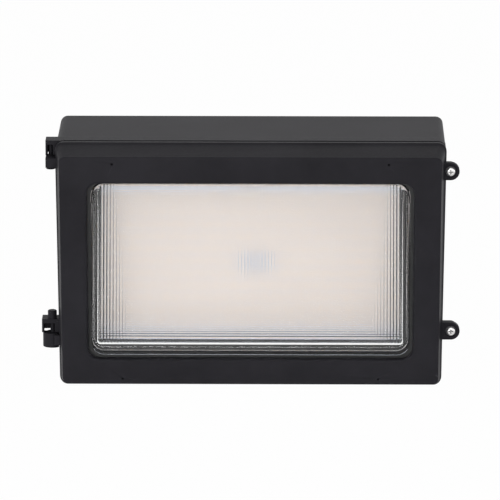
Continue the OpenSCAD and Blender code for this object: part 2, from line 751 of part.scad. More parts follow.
// Wire connector on the board's top margin, above the first row of LEDs
connector_z = board_z + (led_rows - 1) / 2 * led_pitch_z + led_h / 2 + connector_gap;
lead_front_y = board_y - connector_t / 2;
module board_connector() color([0.85, 0.85, 0.82]) difference() {
    plate(board_y, connector_t) translate([-connector_w / 2, connector_z])
        square([connector_w, connector_h]);
    for (x = lead_pair) translate([x, lead_front_y, connector_z + connector_h - lead_seat])
        cylinder(r = lead_r + lead_fit, h = lead_seat + cut);
}

// Sealed driver in an extruded case, with end caps whose feet stand on the pads
lead_exit_y = driver_foot_y - driver_d / 2;
lead_exit_z = driver_z + driver_h / 4;
module driver_section(from, len) translate([from, driver_foot_y, driver_z]) rotate([90, 0, 90])
    linear_extrude(len) translate([-driver_d / 2, 0]) polygon(box_outline(driver_d, driver_h, 0, driver_r));
module driver_case() color([0.72, 0.72, 0.73]) driver_section(-driver_w / 2, driver_w);
module driver_end_caps() color([0.15, 0.15, 0.16]) both_sides() difference() {
    union() {
        driver_section(driver_w / 2, driver_cap_t);
        block([driver_w / 2, driver_foot_y - driver_foot_t, driver_z - driver_foot_w / 2],
              [driver_w / 2 + driver_cap_t + driver_foot, driver_foot_y, driver_z + driver_foot_w / 2]);
    }
    rod(driver_screw_x, driver_z, driver_foot_y + cut, driver_foot_t + 2 * cut, tray_screw_r + hole_clear);
    for (y = lead_pair) translate([driver_w / 2 - cut, lead_exit_y + y, lead_exit_z]) rotate([0, 90, 0])
        cylinder(r = lead_r + lead_fit, h = driver_cap_t + 2 * cut);
}
driver_screw_len = driver_foot_t + foot_tap_d - tip_room;
module driver_screws() color(steel) both_sides()
    at_front(driver_screw_x, driver_z, driver_foot_y - driver_foot_t)
        pan_screw(driver_screw_len, tray_screw_r - thread_clear, tray_head_r, tray_head_h);

// Three-pole terminal block beside the wire entry
terminal_places = [for (i = [-1 : 1]) terminal_x + i * terminal_pitch];
terminal_lead_y = -back_t - terminal_lead_d;
module terminal_block() color([0.9, 0.9, 0.88]) difference() {
    block([terminal_x - terminal_w / 2, -back_t - terminal_d, entry_z - terminal_h / 2],
          [terminal_x + terminal_w / 2, -back_t, entry_z + terminal_h / 2]);
    for (x = terminal_places) {
        rod(x, entry_z, terminal_lead_y, terminal_d, terminal_head_r + hole_clear);
        translate([x, terminal_lead_y, entry_z - terminal_h / 2 - cut])
            cylinder(r = lead_r + lead_fit, h = terminal_h + 2 * cut);
    }
}
module terminal_screws() color([0.8, 0.65, 0.35]) for (x = terminal_places)
    at_front(x, entry_z, terminal_lead_y - lead_r - lead_fit)
        pan_screw(lead_fit / 2, terminal_screw_r, terminal_head_r, terminal_head_h);

// Earth screw on its own post
ground_seat_y = -back_t - ground_post_h;
module ground_screw() color([0.2, 0.5, 0.3]) at_front(ground_x, entry_z, ground_seat_y)
    pan_screw(ground_tap_d - tip_room, tray_screw_r - thread_clear, ground_head_r, ground_head_h);

// Insulated leads, swept along smooth curves through hand-chosen points. Each
// stretch between two points is a cubic that leaves and meets its neighbours
// in the same direction.
lead_pair = [-lead_r - lead_gap / 2, lead_r + lead_gap / 2];
lead_steps = 3;
lead_sides = 8;
function curve(p, i, t) =
    let (a = p[max(i - 1, 0)], b = p[i], c = p[i + 1], d = p[min(i + 2, len(p) - 1)])
    b + 0.5 * t * (c - a + t * (2 * a - 5 * b + 4 * c - d + t * (3 * b - a - 3 * c + d)));
function smooth(p) = concat(
    [for (i = [0 : len(p) - 2]) for (k = [0 : lead_steps - 1]) curve(p, i, k / lead_steps)],
    [p[len(p) - 1]]);
function unit(v) = v / norm(v);
function along(p, i) = unit(p[min(i + 1, len(p) - 1)] - p[max(i - 1, 0)]);
module lead(route) {
    path = smooth(route);
    sideways = unit([1, 0.35, 0.2]);
    rings = [for (i = [0 : len(path) - 1])
        let (t = along(path, i), u = unit(cross(t, sideways)), v = cross(u, t))
        [for (k = [0 : lead_sides - 1])
            path[i] + lead_r * (cos(360 * k / lead_sides) * v + sin(360 * k / lead_sides) * u)]];
    loft(rings);
}

// From the driver's left end, up the back wall and over the tray's top edge.
// The two leads lie one in front of the other along the wall, and side by side
// where they cross the tray.
lead_red = [0.75, 0.1, 0.1];
lead_black = [0.08, 0.08, 0.08];
lead_white = [0.85, 0.85, 0.85];
lead_top_z = connector_z + connector_h;
lead_bend = 0.8;
module board_leads() for (s = [0, 1]) color(s == 0 ? lead_red : lead_black) lead(concat(
    [for (x = [0, -5, -12]) [-driver_w / 2 + x, lead_exit_y + lead_pair[s], lead_exit_z]],
    [for (p = [[-102, -26, -28], [-112, -30, -4], [-92, -32, 40]]) p + [0, lead_pair[s], 0]],
    [for (p = [[-44, -34, 6], [-14, -38, 23]]) p + [0, lead_pair[s], tray_top]],
    [[-5, -45, tray_top + 27] + lead_bend * [lead_pair[s], lead_pair[s], 0]],
    [for (p = [[0, -58, 29], [0, -78, 26], [0, -91, 18]]) p + [lead_pair[s], 0, tray_top]],
    [for (z = [14, 8, 4, lead_end - lead_seat]) [lead_pair[s], lead_front_y, lead_top_z + z]]));

// From the terminal block to the driver's right end
module supply_leads() for (s = [0, 1]) color(s == 0 ? lead_black : lead_white) lead(concat(
    [for (z = [0, -6, -12, -18]) [terminal_places[s], terminal_lead_y, entry_z + z]],
    [for (p = [[96, -12, 16], [110, -14, 4], [118, -18, -14], [114, -22, -30]])
        p + [0, lead_pair[s], 0]],
    [for (x = [22, 12, 5, 0]) [driver_w / 2 + x, lead_exit_y + lead_pair[s], lead_exit_z]]));

// The lower hinge pin drops in from above and hangs on its head
lower_pin_len = lower_ear_h + knuckle_gap + knuckle_h - pin_short;
module hinge_pin() color(casting) translate([-hinge_x, hinge_y, lower_ear_z]) {
    translate([0, 0, -lower_pin_len]) cylinder(r = pin_r, h = lower_pin_len + cut);
    rotate_extrude() polygon([[0, 0], [pin_head_r, 0], [pin_head_r, pin_head_h - head_chamfer],
                              [pin_head_r - head_chamfer, pin_head_h], [0, pin_head_h]]);
}

// Die-cast door: drafted sides, a leaning face, and a lip behind the opening
function face_outline(inset, r) =
    let (top_in = inset + draft_k * door_t_top, bottom_in = inset + draft_k * door_t_bottom)
    outline(half_w - top_in, half_w - side_taper - bottom_in, half_h - top_in, -half_h + bottom_in, r, r);
function opening_outline(grow) =
    box_outline(opening_w + 2 * grow, opening_h + 2 * grow, opening_z, opening_r + grow);
// Shares of a radius by which a rounded edge stands in and back, step by step
edge_steps = [for (a = [0 : 30 : 90]) [1 - sin(a), 1 - cos(a)]];
module door_shell() difference() {
    loft(concat(
        [for (e = edge_steps) ring(body_outline(door_inset + e[0] * door_back_r),
                                   door_back_y - e[1] * door_back_r)],
        [ring(face_outline(door_inset, face_corner_r), face_y + door_edge_r, -face_slope),
         ring(face_outline(door_inset + door_edge_r, face_corner_r), face_y, -face_slope)]));
    loft([ring(body_outline(door_pocket), door_back_y + cut),
          ring(face_outline(door_pocket, pocket_corner_r), face_y + face_t, -face_slope)]);
    on_face() {
        plate(face_t + cut, face_t + 2 * cut) polygon(opening_outline(0));
        loft(concat(
            [ring(opening_outline(-cut), opening_edge_r)],
            [for (e = edge_steps) ring(opening_outline(e[1] * opening_edge_r), e[0] * opening_edge_r)],
            [ring(opening_outline(opening_edge_r + cut), -cut)]));
    }
}
module door_frame() color(casting) difference() {
    union() {
        door_shell();
        on_face() plate(face_t + lip_d, lip_d + face_t / 2) difference() {
            polygon(opening_outline(lip_t));
            polygon(opening_outline(0));
        }
        for (c = clip_places) on_face() rod(c[0], c[1], flange_back, flange_back - face_t / 2, clip_boss_r);
        for (p = screw_places) lug(p, door_lug_r, door_back_y, door_lug_t, door_pocket);
        knuckle(lower_knuckle_z, knuckle_r, knuckle_h, -lower_arm_in);
        knuckle(upper_knuckle_z, upper_knuckle_r, upper_knuckle_h, upper_arm_out);
    }
    translate([-hinge_x, hinge_y, lower_knuckle_z - knuckle_h - cut])
        cylinder(r = pin_r + pin_clear, h = knuckle_h + 2 * cut);
    translate([-hinge_x, hinge_y, upper_knuckle_z - stub_seat]) cylinder(r = pin_r, h = stub_seat + cut);
    for (p = screw_places) {
        rod(p[0], p[1], door_back_y + cut, door_lug_t + 2 * cut, screw_r + screw_clear);
        rod(p[0], p[1], screw_seat_y, washer_seat + cut, washer_r + washer_clear);
    }
    for (p = guard_places) rod(p[0], p[1], face_y - face_slope * p[1] + guard_d, guard_d + cut, guard_r);
    for (c = clip_places) on_face() rod(c[0], c[1], flange_back + cut, clip_screw_len + cut, clip_screw_r);
}

// A knuckle on the hinge's axis, and the arm that joins it to the door's side.
// The knuckle has its full radius only between two directions, so that it keeps
// clear of the housing's side while the door swings.
arm_y = door_back_y - arm_reach;
full_from = 155;
full_to = 315;
full_steps = 5;
module knuckle(top, r, h, arm_out) {
    outer_x = -hinge_x - arm_out;
    side = -side_x(top);
    translate([-hinge_x, hinge_y, top - h]) linear_extrude(h) {
        circle(r = min(r, hinge_x + side - arm_clear));
        intersection() {
            circle(r = r);
            polygon(concat([[0, 0]], [for (i = [0 : full_steps])
                let (a = full_from + (full_to - full_from) * i / full_steps) 2 * r * [cos(a), sin(a)]]));
        }
    }
    translate([0, 0, top - h + arm_up]) linear_extrude(h - arm_up)
        polygon([[outer_x, hinge_y], [outer_x, arm_y + arm_chamfer], [outer_x + arm_chamfer, arm_y],
                 [side + door_pocket, arm_y], [side + door_pocket, door_back_y],
                 [side - arm_clear, door_back_y], [side - arm_clear, hinge_y]]);
}

// Steel stub fixed in the upper knuckle, turning in the ear's plate
module upper_hinge_stub() color(steel) translate([-hinge_x, hinge_y, upper_knuckle_z - stub_seat])
    cylinder(r = pin_r, h = stub_seat + knuckle_gap + upper_ear_h - ear_roof - stub_short);

// The glass in the door's face frame: a flat flange behind the lip, and a wedge
// whose front leans out from the top, ribbed on the inside
lens_seat = face_t + lip_d + lens_gasket_t;
flange_back = lens_seat + glass_t;
flange_over = glass_flange - glass_gap;
glass_x = opening_w / 2 - glass_gap;
glass_top = opening_z + opening_h / 2 - glass_top_gap;
glass_bottom = opening_z - opening_h / 2 + glass_gap;
function base_outline(grow) = outline(glass_x + grow, glass_x + grow, glass_top + grow,
    glass_bottom - grow, glass_base_r + grow, glass_base_r + grow);
front_x = glass_x - glass_side_in;
front_top = glass_top - glass_top_in;
front_bottom = glass_bottom + glass_bottom_in;
glass_slope = glass_out / (front_top - front_bottom);
glass_y = -glass_slope * front_top;
glass_lean = atan(glass_slope);
glass_deep = glass_t / cos(glass_lean);
edge_mid = 1 - cos(45);
// The front edge is sharper along the top, where its inset is a share of the rest
top_share = 0.35;
function glass_ring(inset, back, share) = ring(
    outline(front_x - inset, front_x - inset, front_top - share * inset, front_bottom + inset,
            front_top_r - inset, front_bottom_r - inset),
    glass_y + back, glass_slope);
module glass_lens() color([0.8, 0.85, 0.88, 0.4]) on_face() difference() {
    union() {
        plate(flange_back, glass_t) polygon(opening_outline(flange_over));
        loft([ring(base_outline(0), lens_seat + cut),
              ring(base_outline(0), lens_seat - cut),
              glass_ring(0, glass_edge_r, top_share),
              glass_ring(edge_mid * glass_edge_r, edge_mid * glass_edge_r, top_share),
              glass_ring(glass_edge_r, 0, top_share)]);
    }
    intersection() {
        loft([ring(base_outline(-glass_t), flange_back + cut),
              ring(base_outline(-glass_t), lens_seat),
              glass_ring(min(glass_t, front_bottom_r - least_r), glass_deep, 1)]);
        translate([0, glass_y, 0]) rotate([-glass_lean, 0, 0]) translate([0, 0, -body_h])
            linear_extrude(2 * body_h) polygon(rib_comb());
    }
}

// The cavity behind the front, with a toothed edge: each tooth cuts a furrow
// between two ribs
rib_count = 2 * floor(opening_w / 2 / rib_pitch);
comb_x = rib_count * rib_pitch / 2;
function rib_comb() = concat([[comb_x, body_w], [-comb_x, body_w]],
    [for (i = [-rib_count : rib_count]) [i * rib_pitch / 2, glass_t + (i % 2 == 0 ? rib_h : 0)]]);

module lens_gasket() color(rubber) on_face() plate(lens_seat, lens_gasket_t) difference() {
    polygon(opening_outline(flange_over + gasket_over));
    polygon(base_outline(gasket_clear));
}

// Spring-steel clips screwed to bosses press the flange onto its gasket. Each
// place has the clip's turn about Y, so that its tongue points at the glass.
clip_x = opening_w / 2 + flange_over + clip_off;
clip_z = opening_h / 2 + flange_over + clip_off;
clip_places = concat(
    [for (x = [-1, 1] * clip_spread / 2) each [[x, opening_z + clip_z, 180], [x, opening_z - clip_z, 0]]],
    [[clip_x, opening_z, -90], [-clip_x, opening_z, 90]]);
module at_clip(c) on_face() translate([c[0], flange_back, c[1]]) rotate([-90, c[2], 0]) children();
module lens_clips() color(steel) for (c = clip_places) at_clip(c) difference() {
    translate([-clip_w / 2, -clip_off - clip_lap, 0])
        cube([clip_w, clip_off + clip_lap + clip_boss_r, clip_t]);
    translate([0, 0, -cut]) cylinder(r = clip_screw_r + hole_clear, h = clip_t + 2 * cut);
}
module clip_screws() color(steel) for (c = clip_places) at_clip(c) translate([0, 0, clip_t])
    pan_screw(clip_screw_len, clip_screw_r - thread_clear, clip_head_r, clip_head_h);

// The two closing screws stay in the door's lugs, each on its own washer
module door_washer(p) color(steel) difference() {
    rod(p[0], p[1], screw_seat_y, washer_t, washer_r);
    rod(p[0], p[1], screw_seat_y + cut, washer_t + 2 * cut, screw_r + washer_fit);
}
module door_screw(p) color(steel) at_front(p[0], p[1], screw_seat_y - washer_t)
    pan_screw(screw_len, screw_r, screw_head_r, screw_head_h);
module upper_screw_washer() door_washer(upper_screw);
module lower_screw_washer() door_washer(lower_screw);
module upper_door_screw() door_screw(upper_screw);
module lower_door_screw() door_screw(lower_screw);

back_housing();
rim_gasket();
entry_plugs();
entry_plug_rings();
led_tray();
tray_screws();
led_board();
leds();
board_screws();
board_connector();
driver_case();
driver_end_caps();
driver_screws();
terminal_block();
terminal_screws();
ground_screw();
board_leads();
supply_leads();
hinge_pin();
door_frame();
upper_hinge_stub();
glass_lens();
lens_gasket();
lens_clips();
clip_screws();
upper_screw_washer();
upper_door_screw();
lower_screw_washer();
lower_door_screw();
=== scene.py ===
import math

import bmesh
import bpy
import numpy as np
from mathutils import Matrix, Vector


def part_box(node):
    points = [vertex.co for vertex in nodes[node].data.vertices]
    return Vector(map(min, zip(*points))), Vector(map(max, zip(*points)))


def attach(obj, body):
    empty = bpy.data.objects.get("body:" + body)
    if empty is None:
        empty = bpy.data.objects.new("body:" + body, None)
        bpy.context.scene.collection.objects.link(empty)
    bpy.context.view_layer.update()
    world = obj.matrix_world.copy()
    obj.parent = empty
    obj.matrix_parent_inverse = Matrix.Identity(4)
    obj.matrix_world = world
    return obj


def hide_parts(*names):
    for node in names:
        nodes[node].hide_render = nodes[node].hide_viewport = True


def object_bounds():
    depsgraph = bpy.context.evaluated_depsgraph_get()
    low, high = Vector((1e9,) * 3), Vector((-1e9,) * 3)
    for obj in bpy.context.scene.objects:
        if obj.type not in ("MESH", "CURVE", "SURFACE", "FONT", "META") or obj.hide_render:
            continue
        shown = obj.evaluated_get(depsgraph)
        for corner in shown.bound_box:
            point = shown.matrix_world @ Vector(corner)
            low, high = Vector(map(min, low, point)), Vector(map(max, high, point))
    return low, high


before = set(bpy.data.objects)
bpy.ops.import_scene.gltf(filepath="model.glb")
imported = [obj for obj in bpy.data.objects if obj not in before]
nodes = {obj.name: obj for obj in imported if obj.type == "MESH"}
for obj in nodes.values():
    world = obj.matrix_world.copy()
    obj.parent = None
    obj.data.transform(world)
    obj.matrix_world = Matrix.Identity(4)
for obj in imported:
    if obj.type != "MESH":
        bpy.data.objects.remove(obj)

cad_low, cad_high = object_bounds()
scene = bpy.context.scene
scene.view_settings.view_transform = "Standard"

# The studio: the light is photographed from a little above, with a long lens,
# in a white sweep. The floor lies just under it and keeps its shadow.
camera_at = Vector((0.0425, -4.6340, 1.2262))
looked_at = Vector((-0.000845, -0.0800, 0.005884))
camera = bpy.data.objects.new("camera", bpy.data.cameras.new("camera"))
scene.collection.objects.link(camera)
camera.location = camera_at
camera.rotation_mode = "QUATERNION"
camera.rotation_quaternion = (looked_at - camera_at).to_track_quat("-Z", "Y")
camera.data.sensor_width = 36.0
camera.data.lens = 363.02
camera.data.clip_end = 60.0
scene.camera = camera


def link(tree, source, target):
    """Joins an output socket to an input socket."""
    tree.links.new(source, target)


def part(tree, kind, **settings):
    """Adds a shader node of that kind and sets its plain attributes."""
    made = tree.nodes.new(kind)
    for name, value in settings.items():
        setattr(made, name, value)
    return made


def seen_or_mirrored(tree):
    """1 for a camera, glossy or transmission ray and 0 for the rest: the
    largest of the three outputs of Light Path."""
    path = part(tree, "ShaderNodeLightPath")
    total = path.outputs["Is Camera Ray"]
    for name in ("Is Glossy Ray", "Is Transmission Ray"):
        larger = part(tree, "ShaderNodeMath", operation="MAXIMUM")
        link(tree, total, larger.inputs[0])
        link(tree, path.outputs[name], larger.inputs[1])
        total = larger.outputs[0]
    return total


sky_level = 0.20
world = bpy.data.worlds.new("studio")
scene.world = world
world.use_nodes = True
tree = world.node_tree
tree.nodes.clear()
sky = part(tree, "ShaderNodeBackground")
sky.inputs["Strength"].default_value = sky_level
sky.inputs["Color"].default_value = (0.97, 0.98, 1.0, 1.0)
white = part(tree, "ShaderNodeBackground")
white.inputs["Color"].default_value = (1.0, 1.0, 1.0, 1.0)
mixed = part(tree, "ShaderNodeMixShader")
link(tree, seen_or_mirrored(tree), mixed.inputs[0])
link(tree, sky.outputs[0], mixed.inputs[1])
link(tree, white.outputs[0], mixed.inputs[2])
link(tree, mixed.outputs[0], part(tree, "ShaderNodeOutputWorld").inputs["Surface"])

floor_z = float(cad_low[2]) - 0.0005
floor_half = 6
floor_corners = [(floor_half * a, floor_half * b, floor_z)
                 for a, b in ((-1, -1), (1, -1), (1, 1), (-1, 1))]
floor_mesh = bpy.data.meshes.new("floor")
floor_mesh.from_pydata(floor_corners, [], [(0, 1, 2, 3)])
floor = bpy.data.objects.new("floor", floor_mesh)
scene.collection.objects.link(floor)
paper = bpy.data.materials.new("paper_floor")
paper.use_nodes = True
tree = paper.node_tree
tree.nodes.clear()
matt = part(tree, "ShaderNodeBsdfDiffuse")
matt.inputs["Color"].default_value = (0.86, 0.86, 0.86, 1.0)
glow = part(tree, "ShaderNodeEmission")
mixed = part(tree, "ShaderNodeMixShader")
paper_share = 0.985
share = part(tree, "ShaderNodeMath", operation="MULTIPLY")
link(tree, seen_or_mirrored(tree), share.inputs[0])
share.inputs[1].default_value = paper_share
link(tree, share.outputs[0], mixed.inputs[0])
link(tree, matt.outputs[0], mixed.inputs[1])
link(tree, glow.outputs[0], mixed.inputs[2])
link(tree, mixed.outputs[0], part(tree, "ShaderNodeOutputMaterial").inputs["Surface"])
floor_mesh.materials.append(paper)


def softbox(name, place, aim, width, height, watts):
    """A rectangular lamp at place that faces aim."""
    lamp = bpy.data.lights.new(name, "AREA")
    lamp.shape = "RECTANGLE"
    lamp.size, lamp.size_y, lamp.energy = width, height, watts
    holder = bpy.data.objects.new(name, lamp)
    scene.collection.objects.link(holder)
    holder.location = place
    holder.rotation_mode = "QUATERNION"
    holder.rotation_quaternion = (Vector(aim) - Vector(place)).to_track_quat("-Z", "Y")


softbox("top_lamp", (0.3, -0.5, 1.7), (0.0, -0.05, 0.0), 1.6, 1.2, 5.0)
softbox("front_lamp", (0.0, -2.9, 0.25), (0.0, -0.1, 0.0), 1.8, 0.4, 12.0)
softbox("left_lamp", (-1.5, -2.2, 0.5), (0.0, -0.1, 0.0), 1.0, 0.9, 7.0)
softbox("side_lamp", (-2.1, -0.8, 0.35), (0.0, -0.1, 0.0), 1.0, 1.0, 9.0)
softbox("right_lamp", (2.1, -0.9, 0.45), (0.0, -0.1, 0.0), 0.8, 1.2, 8.0)
softbox("low_lamp", (-0.35, -1.1, -0.055), (-0.05, -0.13, -0.09), 0.9, 0.09, 1.6)


# The castings: housing, door, conduit plugs and lower hinge pin are die-cast
# aluminium with a finely pebbled, dark powder coat that is slightly uneven in
# tone. The upper pin's stub and the tray have the same coat.
def finish(name, colour, roughness, metal=0.0):
    """A material with one Principled shader: returns it, its tree and the shader."""
    made = bpy.data.materials.new(name)
    made.use_nodes = True
    tree = made.node_tree
    tree.nodes.clear()
    shader = part(tree, "ShaderNodeBsdfPrincipled")
    shader.inputs["Base Color"].default_value = (*colour, 1.0)
    shader.inputs["Roughness"].default_value = roughness
    shader.inputs["Metallic"].default_value = metal
    link(tree, shader.outputs[0], part(tree, "ShaderNodeOutputMaterial").inputs["Surface"])
    return made, tree, shader


def grain(tree, scale, detail=3.0, roughness=0.6, stretch=(1.0, 1.0, 1.0)):
    """Noise in Object coordinates, scale waves to the metre, stretched by axis."""
    place = part(tree, "ShaderNodeTexCoord")
    turned = part(tree, "ShaderNodeMapping")
    turned.inputs["Scale"].default_value = stretch
    noise = part(tree, "ShaderNodeTexNoise")
    noise.inputs["Scale"].default_value = scale
    noise.inputs["Detail"].default_value = detail
    noise.inputs["Roughness"].default_value = roughness
    link(tree, place.outputs["Object"], turned.inputs["Vector"])
    link(tree, turned.outputs["Vector"], noise.inputs["Vector"])
    return noise.outputs["Fac"]


def span(tree, value, low, high, to_low, to_high):
    """Carries value from low..high to to_low..to_high, held at both ends."""
    made = part(tree, "ShaderNodeMapRange")
    for name, number in (("From Min", low), ("From Max", high), ("To Min", to_low), ("To Max", to_high)):
        made.inputs[name].default_value = number
    link(tree, value, made.inputs["Value"])
    return made.outputs["Result"]


def between(tree, value, first, second):
    """The colour that lies the share value of the way from first to second.
    Either may be a colour or a socket."""
    made = part(tree, "ShaderNodeMix", data_type="RGBA")
    for socket, colour in ((made.inputs[6], first), (made.inputs[7], second)):
        if isinstance(colour, tuple):
            socket.default_value = (*colour, 1.0)
        else:
            link(tree, colour, socket)
    link(tree, value, made.inputs[0])
    return made.outputs[2]


def emboss(tree, shader, height, depth, strength=1.0, edge=0.0):
    """Bumps the surface by height times depth, in metres, on a normal that the
    Bevel node rounds over edge metres."""
    bump = part(tree, "ShaderNodeBump")
    bump.inputs["Strength"].default_value = strength
    bump.inputs["Distance"].default_value = depth
    link(tree, height, bump.inputs["Height"])
    if edge:
        rounded = part(tree, "ShaderNodeBevel", samples=6)
        rounded.inputs["Radius"].default_value = edge
        link(tree, rounded.outputs[0], bump.inputs["Normal"])
    link(tree, bump.outputs[0], shader.inputs["Normal"])


def dress(finished, *names):
    """Gives CAD nodes a material in every slot."""
    for name in names:
        slots = nodes[name].data.materials
        slots.clear()
        slots.append(finished)


coat_dark = (0.0150, 0.0144, 0.0172)
coat_light = (0.0225, 0.0216, 0.0258)
powder_coat, tree, shader = finish("powder_coat", coat_dark, 0.5)
shader.inputs["Specular IOR Level"].default_value = 0.10
shader.inputs["Specular Tint"].default_value = (0.97, 0.95, 1.0, 1.0)
pebbles = grain(tree, 900.0, 2.0, 0.5)
clouds = grain(tree, 14.0, 4.0, 0.6)
link(tree, between(tree, span(tree, clouds, 0.35, 0.68, 0.0, 1.0), coat_dark, coat_light),
     shader.inputs["Base Color"])
link(tree, span(tree, pebbles, 0.3, 0.7, 0.46, 0.58), shader.inputs["Roughness"])
emboss(tree, shader, pebbles, 0.00012, 0.6, 0.0008)
dress(powder_coat, "back_housing", "entry_plugs", "hinge_pin", "upper_hinge_stub", "led_tray")

# The door: one casting with a dished face and nearly upright sides. A narrow
# bead round its back edge stands proud of the housing's flange, and its two
# screw seats lie a hair behind the washers.
door_back = -0.1084
bead_from, bead_to, bead_out = 0.0028, 0.0018, 0.0012
bead_x, bead_z, lugs_x = 0.174, 0.109, 0.1818
upright, upright_x, upright_ahead = 0.0924, 0.168, 0.0075
fade_in = 0.005
knuckles = ((0.087, 0.103), (-0.083, -0.066))
seat_x, seat_y, seat_clear = 0.178, -0.1128, 0.00003
casting = bmesh.new()
casting.from_mesh(nodes["door_frame"].data)
bmesh.ops.remove_doubles(casting, verts=casting.verts, dist=0.000001)
bmesh.ops.bisect_plane(casting, geom=casting.verts[:] + casting.edges[:] + casting.faces[:],
                       plane_co=(0.0, door_back - bead_from, 0.0), plane_no=(0.0, 1.0, 0.0))
door_mesh = bpy.data.meshes.new("dished_door")
casting.to_mesh(door_mesh)
casting.free()


def outward(distance, start):
    """The share of a move: 0 up to start, then rising evenly to 1 over fade_in."""
    return np.clip((np.abs(distance) - start) / fade_in, 0, 1)


# Points well ahead of the back move out in X by upright times how far ahead
# they lie. Points next to the back move out in X and Z by bead_out, except at
# the lugs and knuckles. Points on the screw seats move back by seat_clear.
places = np.empty(3 * len(door_mesh.vertices))
door_mesh.vertices.foreach_get("co", places)
places = places.reshape(-1, 3)
ahead = door_back - places[:, 1]
x, z = places[:, 0], places[:, 2]
at_knuckle = (x < 0) & np.any([(z > low) & (z < high) for low, high in knuckles], axis=0)
bead = bead_out * (ahead < bead_to) * (np.abs(x) < lugs_x) * ~at_knuckle
out_x = upright * ahead * outward(x, upright_x) * (ahead > upright_ahead) + bead * outward(x, bead_x)
out_z = bead * outward(z, bead_z)
places += np.stack([np.sign(x) * out_x, np.zeros(len(x)), np.sign(z) * out_z], axis=-1)
at_seat = (x > seat_x) & (np.abs(places[:, 1] - seat_y) < seat_clear / 2)
places[:, 1] += seat_clear * at_seat
door_mesh.vertices.foreach_set("co", places.reshape(-1))
door_mesh.materials.clear()
door_mesh.materials.append(powder_coat)
door_mesh.polygons.foreach_set("use_smooth", np.ones(len(door_mesh.polygons), bool))
door_mesh.set_sharp_from_angle(angle=math.radians(28))
dished_door = bpy.data.objects.new("dished_door", door_mesh)
scene.collection.objects.link(dished_door)
even = dished_door.modifiers.new("even", "WEIGHTED_NORMAL")
even.keep_sharp, even.weight = True, 100
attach(dished_door, "door")
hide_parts("door_frame")

# The seals: a cord in the housing's rim, a flat frame in front of the glass's
# flange and rings under the plugs, all in black silicone rubber.
rubber, tree, shader = finish("seal_rubber", (0.012, 0.012, 0.012), 0.62)
link(tree, between(tree, grain(tree, 160.0, 4.0), (0.010, 0.010, 0.010), (0.022, 0.022, 0.023)),
     shader.inputs["Base Color"])
emboss(tree, shader, grain(tree, 2400.0), 0.00004, 0.5)
dress(rubber, "rim_gasket", "entry_plug_rings", "lens_gasket")

# Zinc-plated steel: the tray, board and driver screws, and the clips and their
# screws.
zinc, tree, shader = finish("zinc_steel", (0.62, 0.63, 0.64), 0.3, 1.0)
spangle = grain(tree, 500.0, 3.0)
link(tree, between(tree, spangle, (0.52, 0.53, 0.54), (0.74, 0.75, 0.75)), shader.inputs["Base Color"])
link(tree, span(tree, spangle, 0.3, 0.7, 0.22, 0.40), shader.inputs["Roughness"])
emboss(tree, shader, spangle, 0.00001, 0.4, 0.0002)
dress(zinc, "tray_screws", "board_screws", "driver_screws", "clip_screws", "lens_clips")

# Stainless steel: the two closing screws, turned and polished on their heads,
# with painted shade from occlusion in their cross recesses. Their washers are blackened.
stainless, tree, shader = finish("stainless", (0.62, 0.60, 0.59), 0.3, 1.0)
turned = grain(tree, 700.0, 2.0)
link(tree, span(tree, turned, 0.3, 0.7, 0.24, 0.38), shader.inputs["Roughness"])
# Painted shade: an occlusion node darkens the cross recesses of the heads.
painted_shade_occlusion = part(tree, "ShaderNodeAmbientOcclusion", samples=8)
painted_shade_occlusion.inputs["Distance"].default_value = 0.0016
polished = between(tree, turned, (0.56, 0.55, 0.55), (0.74, 0.73, 0.72))
painted_recess_shade = span(tree, painted_shade_occlusion.outputs["AO"], 0.45, 0.85, 0.0, 1.0)
link(tree, between(tree, painted_recess_shade, (0.02, 0.02, 0.022), polished), shader.inputs["Base Color"])
emboss(tree, shader, turned, 0.00001, 0.3, 0.00025)
dress(stainless, "upper_door_screw", "lower_door_screw")
blackened, tree, shader = finish("blackened_steel", (0.05, 0.05, 0.055), 0.38, 0.7)
oxide = grain(tree, 900.0, 3.0)
link(tree, between(tree, oxide, (0.03, 0.03, 0.033), (0.11, 0.11, 0.115)), shader.inputs["Base Color"])
emboss(tree, shader, oxide, 0.00001, 0.4, 0.0002)
dress(blackened, "upper_screw_washer", "lower_screw_washer")

# The driver: an extruded and anodised aluminium case, and moulded end caps of
# black plastic with screwed feet.
anodised, tree, shader = finish("driver_anodised", (0.50, 0.50, 0.52), 0.42, 0.9)
drawn = grain(tree, 90.0, 4.0, 0.6, (1.0, 14.0, 30.0))
link(tree, between(tree, drawn, (0.42, 0.42, 0.44), (0.58, 0.58, 0.60)), shader.inputs["Base Color"])
emboss(tree, shader, drawn, 0.00003, 0.5, 0.0004)
dress(anodised, "driver_case")
black_plastic, tree, shader = finish("driver_plastic", (0.02, 0.02, 0.021), 0.48)
spark = grain(tree, 1600.0, 2.0)
link(tree, between(tree, spark, (0.017, 0.017, 0.018), (0.028, 0.028, 0.029)),
     shader.inputs["Base Color"])
emboss(tree, shader, spark, 0.00005, 0.5, 0.0004)
dress(black_plastic, "driver_end_caps")

# Wiring: a three-pole terminal block with brass screws, a green earth screw, a
# small white connector and insulated leads.
cream_plastic, tree, shader = finish("connector_plastic", (0.78, 0.77, 0.72), 0.38)
tint = grain(tree, 240.0, 3.0)
link(tree, between(tree, tint, (0.74, 0.73, 0.68), (0.82, 0.81, 0.77)), shader.inputs["Base Color"])
emboss(tree, shader, grain(tree, 1800.0), 0.00003, 0.4, 0.0003)
dress(cream_plastic, "terminal_block", "board_connector")
brass, tree, shader = finish("terminal_brass", (0.78, 0.58, 0.28), 0.28, 1.0)
tarnish = grain(tree, 420.0, 4.0)
link(tree, between(tree, tarnish, (0.62, 0.44, 0.20), (0.84, 0.66, 0.34)), shader.inputs["Base Color"])
emboss(tree, shader, tarnish, 0.00001, 0.4, 0.0002)
dress(brass, "terminal_screws")
green_steel, tree, shader = finish("earth_green", (0.05, 0.22, 0.09), 0.35, 0.6)
worn = grain(tree, 600.0, 4.0)
